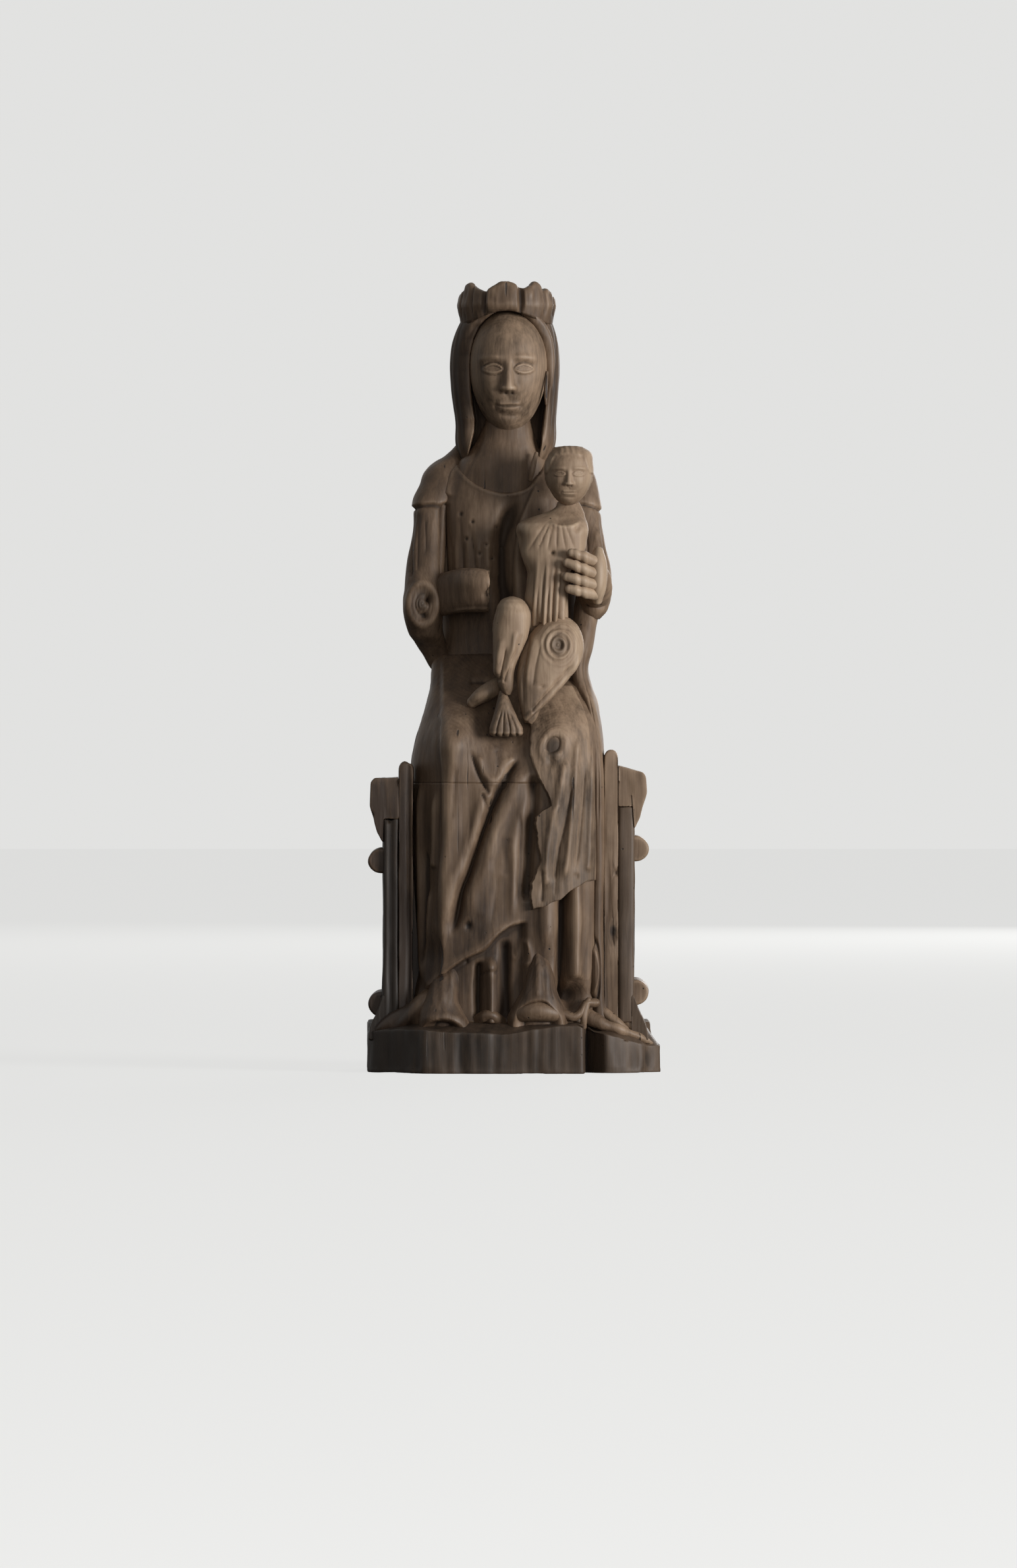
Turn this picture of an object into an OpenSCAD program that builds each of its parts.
// Enthroned mother and child, a wood carving with a flat back, standing on its own plinth.
// Millimetres. Z is up, the figure looks towards -Y, and the origin is on the ground
// under the middle of the throne, half way between the flat back and the plinth's front.

/* [Figure] */
// Height of the figure, from the top of the plinth to the tips of the crown
figure_h = 746; // [600:1:900]
// Width of the robe across the knees
figure_w = 192; // [150:1:240]
// Depth from the flat back to the front of the plinth
depth = 190; // [150:1:240]

/* [Plinth] */
// Height of the plinth under the feet
plinth_h = 50; // [30:1:80]
// How far the plinth reaches beyond each side of the throne
plinth_reach = 16; // [8:1:30]
// Length of the hewn stub at the plinth's right front corner
corner_stub = 10; // [4:1:20]

/* [Throne] */
// Thickness of a side panel
panel_t = 16; // [10:1:24]
// Room between the robe and a side panel, which the front post fills
side_gap = 14; // [8:1:24]
// Front to back size of a front post
post_d = 22; // [12:1:34]
// How far a front post rises above the seat
post_rise = 32; // [16:1:50]
// How far the front of the side panels stands back from the front of the plinth
panel_setback = 48; // [30:1:60]
// Height of the upright face of a cornice
cornice_h = 36; // [20:1:50]
// How far a cornice stands out from its panel
cornice_reach = 13; // [6:1:20]
// Radius of the roll mouldings
roll_r = 13; // [8:1:16]
// Height of the sloping base moulding above the plinth
flare_h = 24; // [12:1:34]
// Thickness of the back board
back_t = 18; // [10:1:26]
// How much higher the right side of the throne is carved than the left
right_rise = 12; // [0:1:20]

/* [Crown] */
// Thickness of the crown's wall
crown_wall = 7; // [4:1:12]
// Depth of the notches between the crown's leaves
notch_h = 16; // [8:1:24]

/* [Hanger] */
// Width of the iron hanging plate let into the back
hanger_w = 26; // [16:1:40]
// Height of the hanging plate
hanger_h = 60; // [40:1:90]
// Thickness of the hanging plate
hanger_t = 3; // [2:0.5:5]
// Radius of the hole that takes the wall hook
hook_r = 4; // [2.5:0.5:6]
// Depth of the pocket in the wood behind the hole
pocket_d = 12; // [8:1:20]

/* [Hidden] */

wood = [0.36, 0.25, 0.17];
pale_wood = [0.47, 0.35, 0.25];
dark_wood = [0.25, 0.17, 0.12];
iron = [0.22, 0.21, 0.20];

facets = 20;            // sides of a carved section
ball_facets = 16;       // sides of a limb's ends
over = 1;               // how far a cutter runs past what it cuts
big = 2000;             // a size larger than the whole carving

// The figure is drawn 746 high, 192 wide and 190 deep, then stretched to the sizes above.
drawn_h = 746;
drawn_w = 192;
drawn_d = 190;
kx = figure_w / drawn_w;
ky = depth / drawn_d;
kz = figure_h / drawn_h;
k_round = min(kx, ky, kz);
back_y = depth / 2;
front_y = -depth / 2;

function fx(x) = x * kx;
function fy(y) = y * ky;
function fz(u) = plinth_h + u * kz;

seat_u = 236;
seat_z = fz(seat_u);
half_lap = figure_w / 2;
inner_x = half_lap + side_gap;
outer_x = inner_x + panel_t;
panel_front = front_y + panel_setback;
plinth_x = outer_x + plinth_reach;
seat_front = panel_front + 12;
cornice_z = seat_z + 10;
upper_roll_z = cornice_z - cornice_h - 42 * kz;
lower_roll_z = plinth_h + flare_h;

// A carved section: [height above the plinth, x, y, half width, half depth, squareness]
function section(s) = [
    for (i = [0 : facets - 1])
        let (t = 360 * i / facets, c = cos(t), q = sin(t), p = 2 / s[5])
            [fx(s[1] + s[3] * sign(c) * pow(abs(c), p)),
             fy(s[2] + s[4] * sign(q) * pow(abs(q), p)),
             fz(s[0])]
];

// Sections of an egg: its middle, half width, half depth and half height, fuller towards the top
function egg(u, x, y, a, b, h, fuller = 0.08, squareness = 2.1) = [
    for (t = [-85 : 17 : 85])
        let (wide = cos(t) * (1 + fuller * sin(t)))
            [u + h * sin(t) / sin(85), x, y, a * wide, b * wide, squareness]
];

module hull_of(points) hull() polyhedron(points, [[for (i = [0 : len(points) - 1]) i]]);

// A solid through a list of carved sections
module loft(sections)
    for (i = [1 : len(sections) - 1])
        hull_of(concat(section(sections[i - 1]), section(sections[i])));

// A limb through balls: [x, y, height above the plinth, radius]
module limb(balls, ball_fn = ball_facets)
    for (i = [1 : len(balls) - 1])
        hull() for (b = [balls[i - 1], balls[i]])
            translate([fx(b[0]), fy(b[1]), fz(b[2])]) sphere(r = b[3] * k_round, $fn = ball_fn);

// Everything in front of the flat back
module trim_back() intersection() {
    union() children();
    translate([-big / 2, back_y - big, 0]) cube(big);
}

// ---- throne ----

// The plinth's outline seen from above: a straight back and a faceted front
plinth_outline = [
    [-plinth_x, back_y], [-plinth_x, front_y * 0.25], [fx(-84), front_y + 5],
    [fx(-20), front_y], [fx(74), front_y + 2], [fx(84), front_y * 0.68],
    [fx(98), front_y * 0.56], [plinth_x + corner_stub, front_y * 0.36],
    [plinth_x + corner_stub, 0], [plinth_x, 6], [plinth_x, back_y],
];

module plinth() color(dark_wood) linear_extrude(plinth_h) polygon(plinth_outline);

module throne_seat() color(dark_wood) difference() {
    translate([-inner_x, seat_front, plinth_h])
        cube([2 * inner_x, back_y - back_t - seat_front, seat_z - plinth_h]);
    robe_skirt_form();
    bodice_form();
    mantle_front_form();
    mantle_side_form();
    for (side = [-1, 1]) post_form(side);
}

module throne_back() color(dark_wood)
    translate([-inner_x, back_y - back_t, plinth_h]) cube([2 * inner_x, back_t, seat_z - plinth_h]);

// A throne side is mirrored; its right one is carved a little higher
module throne_side(side) mirror([side < 0 ? 1 : 0, 0, 0]) translate([0, back_y, 0]) rotate([90, 0, 0]) children();
function rise(side) = side > 0 ? right_rise / 2 : -right_rise / 2;
panel_len = back_y - panel_front;

module base_moulding(side) color(dark_wood) throne_side(side) difference() {
    linear_extrude(panel_len) polygon([
        [outer_x, plinth_h], [plinth_x - 1, plinth_h],
        [outer_x + plinth_reach * 0.45, plinth_h + flare_h * 0.45], [outer_x, plinth_h + flare_h + rise(side)],
    ]);
    roll_solid(lower_roll_z + rise(side), over);
}

module side_panel(side) color(dark_wood) throne_side(side) difference() {
    translate([inner_x, plinth_h, 0]) cube([panel_t, cornice_z + rise(side) - cornice_h - plinth_h, panel_len]);
    for (z = [lower_roll_z, upper_roll_z]) roll_solid(z + rise(side), over);
}

// A roll moulding lies half in the panel
module roll_solid(z, extra = 0)
    translate([outer_x + 2, z, -extra]) cylinder(r = roll_r, h = panel_len + 2 * extra, $fn = 48);

module lower_roll(side) color(wood) throne_side(side) roll_solid(lower_roll_z + rise(side));
module upper_roll(side) color(wood) throne_side(side) roll_solid(upper_roll_z + rise(side));

// The cornice caps the panel, with a slope under its outer edge
module cornice(side) color(wood) throne_side(side) translate([0, cornice_z + rise(side), 0])
    linear_extrude(panel_len) polygon([
        [inner_x, -cornice_h], [outer_x, -cornice_h], [outer_x, -cornice_h - cornice_reach],
        [outer_x + cornice_reach, -cornice_h], [outer_x + cornice_reach, -4], [outer_x + cornice_reach - 4, 0],
        [inner_x, 0],
    ]);

module post_form(side)
    translate([side * (half_lap + side_gap / 2), panel_front + post_d / 2, plinth_h]) union() {
        translate([-side_gap / 2, -post_d / 2, 0]) cube([side_gap, post_d, seat_z + post_rise + rise(side)
            - side_gap / 2 - plinth_h]);
        translate([0, post_d / 2, seat_z + post_rise + rise(side) - side_gap / 2 - plinth_h])
            rotate([90, 0, 0]) cylinder(d = side_gap, h = post_d, $fn = 32);
    }

module front_post(side) color(wood) difference() {
    post_form(side);
    if (side > 0) mantle_side_form();
    lap_form();
    robe_skirt_form();
}

// ---- mother ----

module head_form() loft(egg(654, -4, 16, 39, 42, 63));
module head() color(pale_wood) head_form();

module neck_form() loft([
    [540, -6, 26, 40, 30, 2.2], [562, -5, 24, 30, 26, 2.1], [580, -5, 24, 24, 24, 2],
    [598, -4, 27, 23, 24, 2], [622, -4, 30, 19, 21, 2],
]);
module neck() color(pale_wood) difference() {
    neck_form();
    head_form();
}

module veil_form() loft([
    [536, -4, 48, 56, 46, 2.6], [560, -4, 48, 51, 42, 2.6], [590, -4, 44, 50, 44, 2.4],
    [630, -4, 42, 51, 46, 2.3], [664, -4, 40, 53, 48, 2.2], [690, -4, 38, 51, 48, 2.1],
    [708, -3, 36, 47, 46, 2.1], [722, -3, 34, 40, 40, 2],
]);
// The opening that shows the face and the front of the neck
module face_opening_form() loft([
    [530, -5, -20, 34, 40, 2.4], [600, -4, -24, 38, 44, 2.2], [660, -4, -30, 40, 46, 2.2],
    [700, -4, -32, 33, 42, 2.1], [712, -4, -34, 20, 36, 2],
]);
module veil() color(wood) trim_back() difference() {
    veil_form();
    face_opening_form();
    head_form();
    neck_form();
    crown_band_form();
}

crown_foot_u = 706;
module crown_band_form() loft([
    [crown_foot_u, -3, 33, 46, 45, 2.1], [718, -3, 33, 49, 47, 2.1],
    [730, -3, 33, 49, 48, 2.1], [drawn_h, -3, 33, 46, 46, 2.1],
]);
module crown() color(wood) trim_back() difference() {
    crown_band_form();
    translate([0, 0, over]) crown_hollow();
    head_form();
    for (a = [30 : 60 : 330]) crown_notch(a);
}
module crown_hollow() hull() for (u = [722, drawn_h + 4]) translate([fx(-3), fy(33), fz(u)])
    linear_extrude(over) scale([fx(46) - crown_wall, fy(45) - crown_wall]) circle(r = 1, $fn = facets);
module crown_notch(a) translate([fx(-3), fy(33), fz(drawn_h) + 0.5]) rotate([0, 0, a - 90])
    rotate([-90, 0, 0]) linear_extrude(fx(70)) polygon([[-11, -over], [11, -over], [2, notch_h], [-2, notch_h]]);

module bodice_form() loft([
    [330, 0, 52, 80, 46, 3], [352, 0, 50, 76, 48, 2.9], [384, 0, 50, 70, 48, 2.8],
    [440, 1, 48, 70, 50, 2.8], [490, 2, 49, 76, 49, 2.8], [520, 1, 50, 80, 48, 2.7],
    [540, 0, 53, 74, 45, 2.6], [556, -2, 56, 60, 42, 2.5], [566, -4, 58, 46, 38, 2.4],
]);
module bodice() color(wood) trim_back() difference() {
    bodice_form();
    neck_form();
    veil_form();
    right_upper_sleeve_form();
    right_forearm_form();
    left_upper_sleeve_form();
    left_forearm_form();
    child_forms();
    lap_form();
    hanger_seat();
}

module right_upper_sleeve_form() limb([
    [-60, 44, 530, 22], [-76, 34, 512, 23], [-78, 26, 470, 19], [-80, 18, 440, 20], [-84, 8, 420, 23],
    [-84, 6, 400, 21], [-78, 14, 384, 12],
]);
module right_upper_sleeve() color(wood) difference() {
    right_upper_sleeve_form();
    veil_form();
}

module right_forearm_form() loft_across([
    [-84, -2, 414, 20, 24], [-66, -18, 420, 19, 21], [-48, -28, 424, 19, 21], [-19, -34, 428, 17, 21],
]);
// A loft that runs across the figure: [x, y, height above the plinth, half depth, half height]
module loft_across(rings)
    for (i = [1 : len(rings) - 1]) hull_of([
        for (s = [rings[i - 1], rings[i]], k = [0 : facets - 1])
            let (t = 360 * k / facets)
                [fx(s[0]), fy(s[1] + s[3] * cos(t)), fz(s[2] + s[4] * sin(t))]
    ]);
module right_forearm() color(wood) difference() {
    right_forearm_form();
    right_upper_sleeve_form();
    lap_form();
}

module left_upper_sleeve_form() limb([
    [58, 46, 530, 22], [76, 36, 510, 22], [83, 26, 470, 19], [84, 14, 438, 19], [84, 4, 420, 19],
]);
module left_upper_sleeve() color(wood) difference() {
    left_upper_sleeve_form();
    veil_form();
    child_forms();
}

module left_forearm_form() limb([
    [84, 2, 424, 20], [86, -16, 430, 17], [86, -34, 440, 15], [85, -44, 446, 14],
]);
module left_forearm() color(wood) difference() {
    left_forearm_form();
    left_upper_sleeve_form();
    child_forms();
}

finger_r = 5.6;
module hand_form() {
    limb([[88, -48, 466, 11], [90, -52, 434, 11]]);
    for (k = [0 : 3]) limb([
        [91, -58, 466 - 11.5 * k, finger_r], [84, -74, 467 - 11.8 * k, finger_r],
        [62 + 2 * abs(k - 1), -78, 468 - 12 * k, finger_r - 0.6],
    ], 12);
}
module left_hand() color(wood) difference() {
    hand_form();
    left_forearm_form();
    child_forms();
}

module lap_form() loft([
    [seat_u - 6, -3, 13, 93, 85, 3.4], [262, -4, 11, 95, 87, 3.2], [292, -4, 13, 94, 85, 3.1],
    [316, -3, 21, 90, 77, 3], [334, -2, 32, 84, 66, 2.9], [352, -1, 42, 79, 56, 2.9],
    [366, 0, 47, 74, 51, 2.8],
]);
module lap() color(wood) trim_back() difference() {
    lap_form();
    translate([-big / 2, seat_front, seat_z - big]) cube(big);
    child_forms();
    mantle_front_form();
    mantle_side_form();
    right_upper_sleeve_form();
}

module robe_skirt_form() loft([
    [0, -4, -32, 88, 46, 2.8], [20, -5, -34, 84, 40, 2.8], [60, -6, -34, 84, 38, 2.8],
    [150, -6, -34, 90, 40, 2.9], [220, -5, -32, 92, 42, 2.9], [250, -4, -30, 93, 46, 2.9],
]);
module robe_skirt() color(wood) difference() {
    robe_skirt_form();
    lap_form();
    mantle_front_form();
    mantle_side_form();
    right_hem_form();
    left_hem_form();
}

module mantle_front_form() loft([
    [116, 52, -46, 33, 38, 3], [124, 52, -46, 34, 39, 3], [180, 51, -46, 33, 40, 2.8], [230, 50, -44, 32, 42, 2.6],
    [272, 48, -40, 31, 42, 2.5], [296, 47, -34, 26, 38, 2.3],
]);
module mantle_front_fall() color(pale_wood) difference() {
    mantle_front_form();
    child_forms();
}

module mantle_side_form() loft([
    [0, 91, -20, 10, 30, 2.4], [60, 89, -22, 8, 28, 2.4], [180, 91, -24, 8, 30, 2.4],
    [270, 89, -20, 9, 34, 2.4], [330, 84, -4, 9, 34, 2.3], [392, 84, 14, 7, 22, 2.2],
]);
module mantle_side_fall() color(wood) difference() {
    mantle_side_form();
    lap_form_core();
    mantle_front_form();
    left_forearm_form();
    left_upper_sleeve_form();
    child_forms();
}
// The lap without its outermost 4 mm, so that the mantle lies on it as a skin
module lap_form_core() loft([
    [seat_u - 6, -3, 13, 85, 85, 3.4], [262, -4, 11, 87, 87, 3.2], [292, -4, 13, 86, 85, 3.1],
    [316, -3, 21, 82, 77, 3], [334, -2, 32, 76, 66, 2.9], [366, 0, 47, 66, 51, 2.8],
]);

// Bell-shaped hems over the two feet
module hem_form(x, w) loft([
    [0, x, -62, w, 24, 2.4], [10, x, -62, w, 23, 2.4], [28, x, -58, w * 0.82, 19, 2.2],
    [52, x + 2, -52, w * 0.66, 16, 2.1], [84, x + 3, -46, w * 0.5, 12, 2],
]);
module right_hem_form() hem_form(-62, 26);
module left_hem_form() hem_form(24, 25);
module right_foot_hem() color(wood) right_hem_form();
module left_foot_hem() color(wood) difference() {
    left_hem_form();
    mantle_front_form();
}

// ---- child ----

module child_head_form() loft(egg(546, 61, -40, 26, 28, 33, 0.16, 2.3));
module child_head() color(pale_wood) child_head_form();

module child_robe_form() loft([
    [398, 42, -42, 34, 22, 2.4], [414, 43, -44, 36, 26, 2.4], [440, 44, -44, 35, 26, 2.4],
    [470, 42, -42, 36, 26, 2.4], [492, 42, -40, 37, 26, 2.4], [502, 46, -38, 31, 23, 2.3],
    [512, 54, -37, 18, 18, 2.1], [520, 59, -37, 14, 15, 2],
]);
module child_robe() color(pale_wood) difference() {
    child_robe_form();
    child_head_form();
    child_leg_forms();
}

module child_right_leg_form() limb([
    [30, -34, 404, 20], [4, -60, 406, 19], [-3, -66, 380, 19], [-10, -68, 352, 15], [-12, -66, 338, 12],
]);
module child_left_leg_form() limb([
    [52, -26, 390, 24], [50, -56, 378, 26], [46, -60, 356, 24], [34, -64, 330, 18], [20, -68, 308, 10],
]);
module child_leg_forms() {
    child_right_leg_form();
    child_left_leg_form();
}
module child_right_leg() color(pale_wood) difference() {
    child_right_leg_form();
    child_left_leg_form();
}
module child_left_leg() color(pale_wood) child_left_leg_form();

module child_feet_form() {
    limb([[-5, -66, 328, 7], [-4, -72, 306, 12], [-3, -74, 298, 14]]);
    limb([[-14, -64, 332, 9], [-24, -66, 324, 10], [-32, -68, 320, 9]]);
}
module child_feet() color(pale_wood) difference() {
    child_feet_form();
    child_leg_forms();
}

module child_forms() {
    child_head_form();
    child_robe_form();
    child_leg_forms();
    child_feet_form();
}

// ---- hanger ----

hanger_z = fz(500);
module hanger_seat() {
    translate([-hanger_w / 2, back_y - hanger_t, hanger_z - hanger_h / 2]) cube([hanger_w, hanger_t + over, hanger_h]);
    translate([0, back_y + over, hook_z]) rotate([90, 0, 0]) cylinder(r = hook_r * 2, h = hanger_t + pocket_d, $fn = 24);
}
hook_z = hanger_z + hanger_h / 2 - hook_r * 3.5;
module hanging_plate() color(iron) difference() {
    translate([-hanger_w / 2, back_y - hanger_t, hanger_z - hanger_h / 2]) cube([hanger_w, hanger_t, hanger_h]);
    translate([0, back_y + over, hook_z]) rotate([90, 0, 0]) cylinder(r = hook_r, h = hanger_t + 2 * over, $fn = 48);
}

plinth();
throne_seat();
throne_back();
base_moulding(-1);  // left_base_moulding
base_moulding(1);  // right_base_moulding
side_panel(-1);  // left_side_panel
side_panel(1);  // right_side_panel
lower_roll(-1);  // left_lower_roll
lower_roll(1);  // right_lower_roll
upper_roll(-1);  // left_upper_roll
upper_roll(1);  // right_upper_roll
cornice(-1);  // left_cornice
cornice(1);  // right_cornice
front_post(-1);  // left_front_post
front_post(1);  // right_front_post
head();
neck();
veil();
crown();
bodice();
right_upper_sleeve();
right_forearm();
left_upper_sleeve();
left_forearm();
left_hand();
lap();
robe_skirt();
mantle_front_fall();
mantle_side_fall();
right_foot_hem();
left_foot_hem();
child_head();
child_robe();
child_right_leg();
child_left_leg();
child_feet();
hanging_plate();
